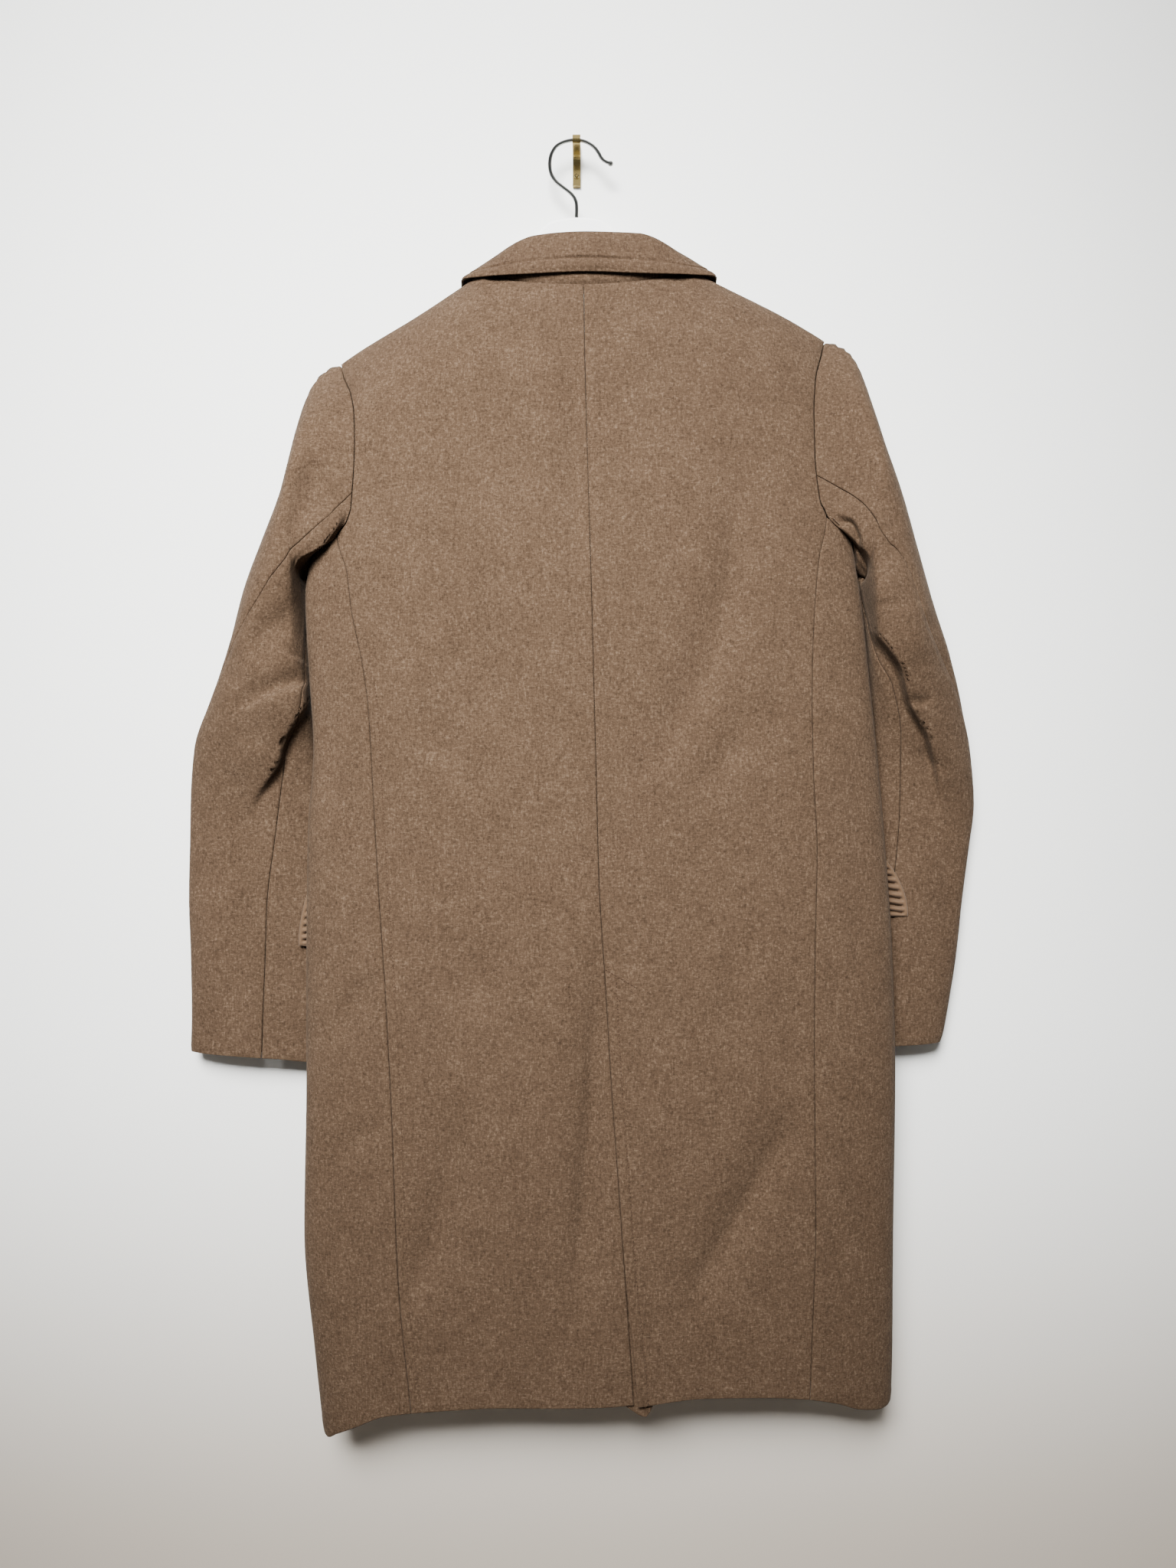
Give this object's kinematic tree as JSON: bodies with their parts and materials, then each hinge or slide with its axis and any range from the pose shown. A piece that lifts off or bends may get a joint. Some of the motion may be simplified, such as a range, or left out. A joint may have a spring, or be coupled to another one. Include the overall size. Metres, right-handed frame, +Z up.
{
  "type": "long wool overcoat on a hanger hung on a wall hook",
  "caption": "Long single-breasted wool overcoat seen hanging by its hanger's steel hook from a brass wall hook, back outwards, with a turned-down collar, back vent and bent sleeves.",
  "frame": {"origin": "centre of the face by which the wall hook's plate lies on the wall", "axes": "+Y towards the wall, +Z up, +X towards the coat's right side, which is on the right when the coat's back is looked at"},
  "size_m": [0.7528, 0.0994, 1.2266],
  "materials": {
    "wool": "felted wool melton, heathered, matt",
    "lining": "satin lining, soft sheen",
    "horn": "horn-like, polished",
    "hanger_wood": "white satin lacquer",
    "steel": "polished steel wire",
    "brass": "polished brass"
  },
  "bodies": {
    "root": {"back_left": "wool", "back_right": "wool", "vent_underlap": "wool", "side_left": "wool", "side_right": "wool", "front_left": "wool", "front_right": "wool", "under_sleeve_left": "wool", "top_sleeve_left": "wool", "under_sleeve_right": "wool", "top_sleeve_right": "wool", "collar_fall": "wool", "collar_stand": "wool", "lapel_left": "wool", "lapel_right": "wool", "flap_left": "lining", "flap_right": "lining", "front_button_1": "horn", "front_button_2": "horn", "front_button_3": "horn", "hanger": "hanger_wood", "hanger_hook": "steel", "wall_hook": "brass", "hook_screw": "brass"}
  },
  "joints": []
}
